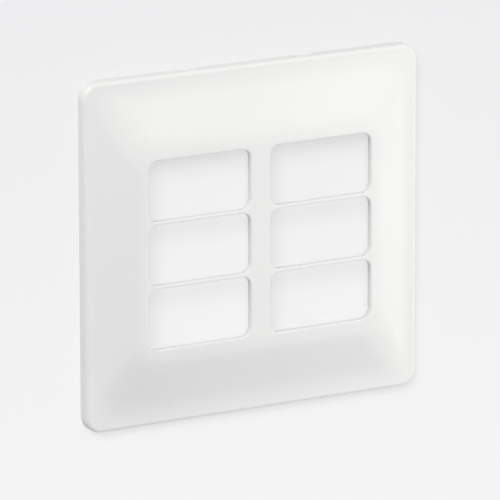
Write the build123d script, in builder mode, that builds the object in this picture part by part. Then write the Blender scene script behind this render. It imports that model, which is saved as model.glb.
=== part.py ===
from build123d import *
import os

# A moulded cover plate for a wall box, with windows for switch modules in columns and rows.
# It stands as it does on the wall: back on the plane y = 0, front towards -Y, height along +Z.
# The origin is the middle of the back. Depths are measured from the back towards the front,
# and distances from the plate's centre lines towards its edges, all in millimetres.

# Outline
plate_width = 126.0
plate_height = 119.5
corner_radius = 5.5

# Rim: the straight wall round the edge, and the flat land along its front
rim_depth = 4.6
rim_wall = 2.0
rim_edge_radius = 1.2
rim_land = 2.6

# Crown: the face bends up from the land, climbs evenly and bends level again into a flat field
# that holds the windows; foot and brow are the shares of the way that the two bends take
crown_rise = 5.2
crown_foot = 0.3
crown_brow = 0.3
crown_sections = 9
crown_corner_radius = 6.5
crown_corner_swell = 3.5
face_wall = 2.3
field_margin = 1.0

# Windows
columns = 2
rows = 3
window_width = 38.9
window_height = 21.0
post_width = 7.1
bar_height = 1.0
window_radius = 3.5
window_mouth = 0.25

# Ribs that stiffen the sloping bands from behind
rib_thickness = 1.2
rib_setback = 1.4
rib_window_gap = 6.0
rib_steps = 6

# Snap hooks that hold the plate on its support frame
hook_width = 9.0
hook_thickness = 1.6
hook_setback = 0.5
hook_window_gap = 5.0
hook_barb = 0.9
hook_barb_length = 1.6

# Notches in the back edge of the top and bottom walls, where a blade lifts the plate off
notch_width = 7.0
notch_depth = 1.3
notch_spacing = 43.5

# Sizes that follow
column_pitch = window_width + post_width
row_pitch = window_height + bar_height
field_width = (columns - 1) * column_pitch + window_width
field_height = (rows - 1) * row_pitch + window_height
base_width = plate_width - 2 * rim_land
base_height = plate_height - 2 * rim_land
top_width = field_width + 2 * field_margin
top_height = field_height + 2 * field_margin
hollow_width = plate_width - 2 * rim_wall
hollow_height = plate_height - 2 * rim_wall
front_depth = rim_depth + crown_rise


def between(start, end, share):
    """A size on its way from start to end."""
    return start + (end - start) * share


def lift(share):
    """Height of the crown over the land, for a share of the way from the land to the field."""
    climb = crown_rise / (1 - (crown_foot + crown_brow) / 2)
    if share < crown_foot:
        return climb * share**2 / (2 * crown_foot)
    if share > 1 - crown_brow:
        return crown_rise - climb * (1 - share) ** 2 / (2 * crown_brow)
    return climb * (share - crown_foot / 2)


def crown_corner(share):
    """Corner radius of the crown's outline at a share of the way up; it swells half way."""
    swell = 4 * crown_corner_swell * share * (1 - share)
    return between(corner_radius - rim_edge_radius, crown_corner_radius, share) + swell


def wall_middle(base, top, distance):
    """Depth of the middle of the face's wall at a distance from the centre line."""
    share = (base / 2 - distance) / (base / 2 - top / 2)
    return rim_depth + lift(min(max(share, 0), 1)) - face_wall / 2


def rib_outline(base, top, field, plate):
    """Corners of a rib, as (distance, depth), from beside the windows to inside the rim's wall."""
    start = field / 2 + rib_window_gap
    end = (plate - rim_wall) / 2
    places = [between(start, end, step / rib_steps) for step in range(rib_steps + 1)]
    top_side = [(place, wall_middle(base, top, place)) for place in places]
    return [(start, rib_setback)] + top_side + [(end, rib_setback)]


def hook_outline(base, top, field):
    """Corners of a snap hook, as (distance, depth); its barb points away from the windows."""
    inner = field / 2 + hook_window_gap
    outer = inner + hook_thickness
    root = wall_middle(base, top, outer)
    return [
        (inner, root),
        (inner, hook_setback),
        (outer, hook_setback),
        (outer + hook_barb, hook_setback + hook_barb_length / 2),
        (outer + hook_barb, hook_setback + hook_barb_length),
        (outer, hook_setback + hook_barb_length),
        (outer, root),
    ]


with BuildPart() as cover_plate:
    # Rim, rounded along its front edge
    with BuildSketch(Plane.XZ):
        RectangleRounded(plate_width, plate_height, corner_radius)
    extrude(amount=rim_depth)
    fillet(cover_plate.faces().sort_by(Axis.Y)[0].edges(), rim_edge_radius)

    # Hollow behind the land
    with BuildSketch(Plane.XZ):
        RectangleRounded(hollow_width, hollow_height, corner_radius - rim_wall)
    extrude(amount=rim_depth - face_wall, mode=Mode.SUBTRACT)

    # Crown, and the same form set back by the wall as the hollow under it, which is flat between its sections
    for setback, flat, mode in ((0, False, Mode.ADD), (face_wall, True, Mode.SUBTRACT)):
        for section in range(crown_sections):
            share = section / (crown_sections - 1)
            with BuildSketch(Plane.XZ.offset(rim_depth + lift(share) - setback)):
                RectangleRounded(
                    between(base_width, top_width, share),
                    between(base_height, top_height, share),
                    crown_corner(share),
                )
        loft(ruled=flat, mode=mode)

    # Windows, each with a bevelled mouth
    with BuildSketch(Plane.XZ):
        with GridLocations(column_pitch, row_pitch, columns, rows):
            RectangleRounded(window_width, window_height, window_radius)
    extrude(amount=front_depth, mode=Mode.SUBTRACT)
    with BuildSketch(Plane.XZ.offset(front_depth)):
        with GridLocations(column_pitch, row_pitch, columns, rows):
            RectangleRounded(
                window_width + 2 * window_mouth,
                window_height + 2 * window_mouth,
                window_radius + window_mouth,
            )
    extrude(amount=-window_mouth, taper=45, mode=Mode.SUBTRACT)

    # Ribs behind the bands above and below the windows
    for place in (-column_pitch, 0, column_pitch):
        for side in (1, -1):
            outline = rib_outline(base_height, top_height, field_height, plate_height)
            with BuildSketch(Plane.YZ.offset(place)):
                with BuildLine():
                    Polyline([(-depth, side * distance) for distance, depth in outline], close=True)
                make_face()
            extrude(amount=rib_thickness / 2, both=True)

    # Ribs behind the bands beside the windows
    for place in (-row_pitch, 0, row_pitch):
        for side in (1, -1):
            outline = rib_outline(base_width, top_width, field_width, plate_width)
            with BuildSketch(Plane.XY.offset(place)):
                with BuildLine():
                    Polyline([(side * distance, -depth) for distance, depth in outline], close=True)
                make_face()
            extrude(amount=rib_thickness / 2, both=True)

    # Snap hooks over and under each column of windows
    for place in (-column_pitch / 2, column_pitch / 2):
        for side in (1, -1):
            outline = hook_outline(base_height, top_height, field_height)
            with BuildSketch(Plane.YZ.offset(place)):
                with BuildLine():
                    Polyline([(-depth, side * distance) for distance, depth in outline], close=True)
                make_face()
            extrude(amount=hook_width / 2, both=True)

    # Notches in the back edge, through the walls above and below
    with BuildSketch(Plane.XZ):
        with GridLocations(notch_spacing, plate_height, 2, 2):
            Rectangle(notch_width, 2 * rim_wall)
    extrude(amount=notch_depth, mode=Mode.SUBTRACT)

cover_plate.part.label = "cover_plate"

os.makedirs("parts", exist_ok=True)
export_step(cover_plate.part, "parts/cover_plate.step")
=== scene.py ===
import math

import bpy
from mathutils import Matrix, Vector

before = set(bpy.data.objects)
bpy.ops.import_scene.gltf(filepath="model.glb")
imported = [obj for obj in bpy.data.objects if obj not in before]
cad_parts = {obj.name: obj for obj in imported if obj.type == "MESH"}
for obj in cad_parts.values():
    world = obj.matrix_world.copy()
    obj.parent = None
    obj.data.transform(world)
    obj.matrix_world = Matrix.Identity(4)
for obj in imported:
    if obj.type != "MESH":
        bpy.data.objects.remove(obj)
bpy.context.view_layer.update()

# Directions are as seen from the plate, in degrees: azimuth 0 is straight in front of it, and 90 is to
# the right. Lengths are in metres, and powers in watts.

# Camera, from the photograph's edges: where it stands and looks, and how long its lens is
VIEW_AZIMUTH = -28.65
VIEW_ELEVATION = 15.02
VIEW_ROLL = 0.12
VIEW_DISTANCE = 2.076
VIEW_TARGET = Vector((0.00125, 0.0, -0.00545))
VIEW_REACH = 20.0
FOCAL_PIXELS = 6192.0
FRAME_PIXELS = 500.0
SENSOR = 36.0

# Stage
WALL_GAP = 0.0001
WALL_WIDTH = 3.0
WALL_TOP = 1.2
FLOOR_DROP = 0.35
FLOOR_REACH = 6.0

# The paper's tone above and below the plate, a painted fall of light that makes it darker towards the top
# and lighter towards the bottom, and how far from its middle these are reached
PAPER_PAINTED_SHADE_ABOVE = (0.852, 0.85, 0.86, 1)
PAPER_PAINTED_LIGHT_BELOW = (0.907, 0.905, 0.9, 1)
PAPER_PAINTED_FALLOFF_REACH = 0.085

# The share of the paper that takes light and shadow, and the glow of the rest
PAPER_SHADED_SHARE = 0.28
WALL_GLOW = 0.874
FLOOR_GLOW = 1.13

# The share of the room's and the lamps' light that passes through the paper to the plate
WALL_PASSING = 0.54
FLOOR_PASSING = 1.0

# Moulded plastic: its two tones, and the values of the cloud noise at which it has them
PLASTIC_TONE_LOW = (0.885, 0.885, 0.882, 1)
PLASTIC_TONE_HIGH = (0.9, 0.9, 0.895, 1)
PLASTIC_TONE_START = 0.3
PLASTIC_TONE_END = 0.7
PLASTIC_ROUGHNESS_LOW = 0.36
PLASTIC_ROUGHNESS_HIGH = 0.44
PLASTIC_IOR = 1.5

# Its noises, each with a scale and a detail, and its bumps, each with a strength and a depth
CLOUD = (28.0, 3.0)
FLOW = (160.0, 1.0)
GRAIN = (2600.0, 2.0)
FLOW_BUMP = (0.1, 0.00005)
GRAIN_BUMP = (0.18, 0.00003)

# Lamps on the plate: azimuth, elevation, distance, width and power
LAMPS = {
    "left_lamp": (-75, 47, 1.1, 0.5, 6.4),
    "right_lamp": (53, 3, 0.44, 0.6, 1.165),
    "low_lamp": (50, -40, 0.44, 0.3, 0.045),
    "rear_lamp": (150, -20, 1.0, 0.5, 10.0),
}
LAMP_COLOUR = (1.0, 0.975, 0.91)

# Sun on the wall, for the plate's shadow
WALL_SUN_FROM = Vector((-0.72, -1.0, 0.64))
WALL_SUN_SPREAD = 36
WALL_SUN_STRENGTH = 3.4

# Room: the light that it gives, and the backdrop that is seen past the stage
WORLD_COLOUR = (0.95, 0.96, 1.0, 1.0)
WORLD_STRENGTH = 0.57
BACKDROP_COLOUR = (0.88, 0.88, 0.89, 1.0)
BACKDROP_STRENGTH = 1.0


def material(name):
    """A new node material and its node tree, emptied but for the output."""
    made = bpy.data.materials.new(name)
    made.use_nodes = True
    tree = made.node_tree
    tree.nodes.clear()
    output = tree.nodes.new("ShaderNodeOutputMaterial")
    return made, tree, output


def noise(tree, kind):
    """A noise in the object's own coordinates."""
    scale, detail = kind
    coordinates = tree.nodes.new("ShaderNodeTexCoord")
    made = tree.nodes.new("ShaderNodeTexNoise")
    made.inputs["Scale"].default_value = scale
    made.inputs["Detail"].default_value = detail
    tree.links.new(coordinates.outputs["Object"], made.inputs["Vector"])
    return made.outputs["Fac"]


def bump(tree, height, size):
    """A bump node that follows a height."""
    strength, depth = size
    made = tree.nodes.new("ShaderNodeBump")
    made.inputs["Strength"].default_value = strength
    made.inputs["Distance"].default_value = depth
    tree.links.new(height, made.inputs["Height"])
    return made


def tones(tree, value, low, high, start, end):
    """A colour that goes from low to high while a value goes from start to end."""
    ramp = tree.nodes.new("ShaderNodeValToRGB")
    first, last = ramp.color_ramp.elements
    first.position = start
    first.color = low
    last.position = end
    last.color = high
    tree.links.new(value, ramp.inputs["Fac"])
    return ramp.outputs["Color"]


def larger(tree, first, second):
    """The larger of two values."""
    made = tree.nodes.new("ShaderNodeMath")
    made.operation = "MAXIMUM"
    tree.links.new(first, made.inputs[0])
    tree.links.new(second, made.inputs[1])
    return made.outputs["Value"]


def seen_directly(tree):
    """A value that is 1 for the camera's rays and those by gloss or through glass, and 0 for other light."""
    rays = tree.nodes.new("ShaderNodeLightPath")
    by_gloss = larger(tree, rays.outputs["Is Camera Ray"], rays.outputs["Is Glossy Ray"])
    return larger(tree, by_gloss, rays.outputs["Is Transmission Ray"])


def moulded_plastic():
    """White moulded plastic: satin gloss, a very fine moulded grain and a faint unevenness of tone."""
    made, tree, output = material("moulded_white_plastic")
    link = tree.links.new
    flow = noise(tree, FLOW)
    fine = bump(tree, noise(tree, GRAIN), GRAIN_BUMP)
    broad = bump(tree, flow, FLOW_BUMP)
    link(fine.outputs["Normal"], broad.inputs["Normal"])

    gloss = tree.nodes.new("ShaderNodeMapRange")
    gloss.inputs["To Min"].default_value = PLASTIC_ROUGHNESS_LOW
    gloss.inputs["To Max"].default_value = PLASTIC_ROUGHNESS_HIGH
    link(flow, gloss.inputs["Value"])
    tone = tones(
        tree, noise(tree, CLOUD), PLASTIC_TONE_LOW, PLASTIC_TONE_HIGH, PLASTIC_TONE_START, PLASTIC_TONE_END
    )

    shader = tree.nodes.new("ShaderNodeBsdfPrincipled")
    shader.inputs["IOR"].default_value = PLASTIC_IOR
    link(tone, shader.inputs["Base Color"])
    link(gloss.outputs["Result"], shader.inputs["Roughness"])
    link(broad.outputs["Normal"], shader.inputs["Normal"])
    link(shader.outputs["BSDF"], output.inputs["Surface"])
    return made


def stage_paper(name, glow_strength, passing):
    """Pale paper that is seen from its front only, so that the plate can be looked at from behind and below.

    A part of its tone is its own glow, so that the plate's shadow on it stays as light as on a lit backdrop.
    It lets a share of the light pass on to the plate, from behind too. Its tone is painted darker towards
    its top and lighter towards its bottom, a painted fall of light.
    """
    made, tree, output = material(name)
    link = tree.links.new
    coordinates = tree.nodes.new("ShaderNodeTexCoord")
    axes = tree.nodes.new("ShaderNodeSeparateXYZ")
    link(coordinates.outputs["Object"], axes.inputs["Vector"])
    # Painted fall of light: the paper's tone darkens from its bottom to its top.
    height = tree.nodes.new("ShaderNodeMapRange")
    height.inputs["From Min"].default_value = -PAPER_PAINTED_FALLOFF_REACH
    height.inputs["From Max"].default_value = PAPER_PAINTED_FALLOFF_REACH
    link(axes.outputs["Z"], height.inputs["Value"])
    tone = tones(tree, height.outputs["Result"], PAPER_PAINTED_LIGHT_BELOW, PAPER_PAINTED_SHADE_ABOVE, 0, 1)

    glow = tree.nodes.new("ShaderNodeEmission")
    link(tone, glow.inputs["Color"])
    glow.inputs["Strength"].default_value = glow_strength
    matt = tree.nodes.new("ShaderNodeBsdfDiffuse")
    link(tone, matt.inputs["Color"])
    paper = tree.nodes.new("ShaderNodeMixShader")
    paper.inputs["Fac"].default_value = PAPER_SHADED_SHARE
    link(glow.outputs["Emission"], paper.inputs[1])
    link(matt.outputs["BSDF"], paper.inputs[2])

    seen = seen_directly(tree)
    side = tree.nodes.new("ShaderNodeNewGeometry")
    front = tree.nodes.new("ShaderNodeMath")
    front.operation = "SUBTRACT"
    front.use_clamp = True
    link(seen, front.inputs[0])
    link(side.outputs["Backfacing"], front.inputs[1])
    passed = tree.nodes.new("ShaderNodeMapRange")
    passed.inputs["To Min"].default_value = passing
    link(seen, passed.inputs["Value"])
    clear = tree.nodes.new("ShaderNodeBsdfTransparent")
    link(passed.outputs["Result"], clear.inputs["Color"])
    choice = tree.nodes.new("ShaderNodeMixShader")
    link(front.outputs["Value"], choice.inputs["Fac"])
    link(clear.outputs["BSDF"], choice.inputs[1])
    link(paper.outputs["Shader"], choice.inputs[2])
    link(choice.outputs["Shader"], output.inputs["Surface"])
    return made


def placed(name, data):
    """A new object in the scene."""
    made = bpy.data.objects.new(name, data)
    bpy.context.scene.collection.objects.link(made)
    return made


def sheet(name, corners, paper):
    """A flat stage sheet through four corners."""
    mesh = bpy.data.meshes.new(name)
    mesh.from_pydata(corners, [], [range(len(corners))])
    mesh.materials.append(paper)
    made = placed(name, mesh)
    return made


def wall():
    """The wall that the plate stands against."""
    half = WALL_WIDTH / 2
    corners = [
        (-half, WALL_GAP, -FLOOR_DROP),
        (half, WALL_GAP, -FLOOR_DROP),
        (half, WALL_GAP, WALL_TOP),
        (-half, WALL_GAP, WALL_TOP),
    ]
    return sheet("wall", corners, stage_paper("wall_paper", WALL_GLOW, WALL_PASSING))


def floor():
    """A floor well below the plate."""
    corners = [
        (-FLOOR_REACH, -FLOOR_REACH, -FLOOR_DROP),
        (FLOOR_REACH, -FLOOR_REACH, -FLOOR_DROP),
        (FLOOR_REACH, FLOOR_REACH, -FLOOR_DROP),
        (-FLOOR_REACH, FLOOR_REACH, -FLOOR_DROP),
    ]
    return sheet("floor", corners, stage_paper("floor_paper", FLOOR_GLOW, FLOOR_PASSING))


def direction(azimuth, elevation):
    """A vector of length 1 from the plate, in a direction in degrees."""
    around = math.radians(azimuth)
    up = math.radians(elevation)
    return Vector((
        math.sin(around) * math.cos(up),
        -math.cos(around) * math.cos(up),
        math.sin(up),
    ))


def turned_to(place, target):
    """The rotation that turns a lamp or a camera at a place towards a target, with its top up."""
    return (target - place).to_track_quat("-Z", "Y")


def camera():
    """The photograph's camera: from the left, a little above, with a long lens."""
    lens = bpy.data.cameras.new("camera")
    lens.sensor_width = SENSOR
    lens.lens = FOCAL_PIXELS / FRAME_PIXELS * SENSOR
    lens.clip_end = VIEW_REACH
    made = placed("camera", lens)
    place = VIEW_TARGET + direction(VIEW_AZIMUTH, VIEW_ELEVATION) * VIEW_DISTANCE
    roll = Matrix.Rotation(math.radians(-VIEW_ROLL), 4, "Z")
    turn = turned_to(place, VIEW_TARGET).to_matrix().to_4x4() @ roll
    made.matrix_world = Matrix.Translation(place) @ turn
    bpy.context.scene.camera = made


def receivers(name, piece):
    """A collection that holds the one piece that a lamp lights."""
    lit = bpy.data.collections.new(name)
    lit.objects.link(piece)
    return lit


def lamp(name, data, place, lit):
    """A lamp at a place, turned to the plate."""
    made = placed(name, data)
    made.location = place
    made.rotation_mode = "QUATERNION"
    made.rotation_quaternion = turned_to(place, Vector((0, 0, 0)))
    made.light_linking.receiver_collection = lit


def soft_lamp(name, azimuth, elevation, distance, width, power, lit):
    """A round soft box."""
    data = bpy.data.lights.new(name, "AREA")
    data.shape = "DISK"
    data.size = width
    data.energy = power
    data.color = LAMP_COLOUR
    lamp(name, data, distance * direction(azimuth, elevation), lit)


def wall_sun(lit):
    """A broad sun from the upper left."""
    data = bpy.data.lights.new("wall_sun", "SUN")
    data.angle = math.radians(WALL_SUN_SPREAD)
    data.energy = WALL_SUN_STRENGTH
    lamp("wall_sun", data, WALL_SUN_FROM, lit)


def room():
    """An even pale room: light for the plate, and a plain backdrop that is seen past the stage."""
    world = bpy.data.worlds.new("room")
    world.use_nodes = True
    tree = world.node_tree
    link = tree.links.new
    fill = tree.nodes["Background"]
    fill.inputs["Color"].default_value = WORLD_COLOUR
    fill.inputs["Strength"].default_value = WORLD_STRENGTH
    backdrop = tree.nodes.new("ShaderNodeBackground")
    backdrop.inputs["Color"].default_value = BACKDROP_COLOUR
    backdrop.inputs["Strength"].default_value = BACKDROP_STRENGTH
    choice = tree.nodes.new("ShaderNodeMixShader")
    link(seen_directly(tree), choice.inputs["Fac"])
    link(fill.outputs["Background"], choice.inputs[1])
    link(backdrop.outputs["Background"], choice.inputs[2])
    link(choice.outputs["Shader"], tree.nodes["World Output"].inputs["Surface"])
    bpy.context.scene.world = world


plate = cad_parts["cover_plate"]
plastic = moulded_plastic()
for material_slot in plate.material_slots:
    material_slot.material = plastic

floor()
lit_wall = receivers("lit_wall", wall())
lit_plate = receivers("lit_plate", plate)
for lamp_name, lamp_values in LAMPS.items():
    soft_lamp(lamp_name, *lamp_values, lit_plate)
wall_sun(lit_wall)
room()
camera()
bpy.context.scene.view_settings.view_transform = "Standard"
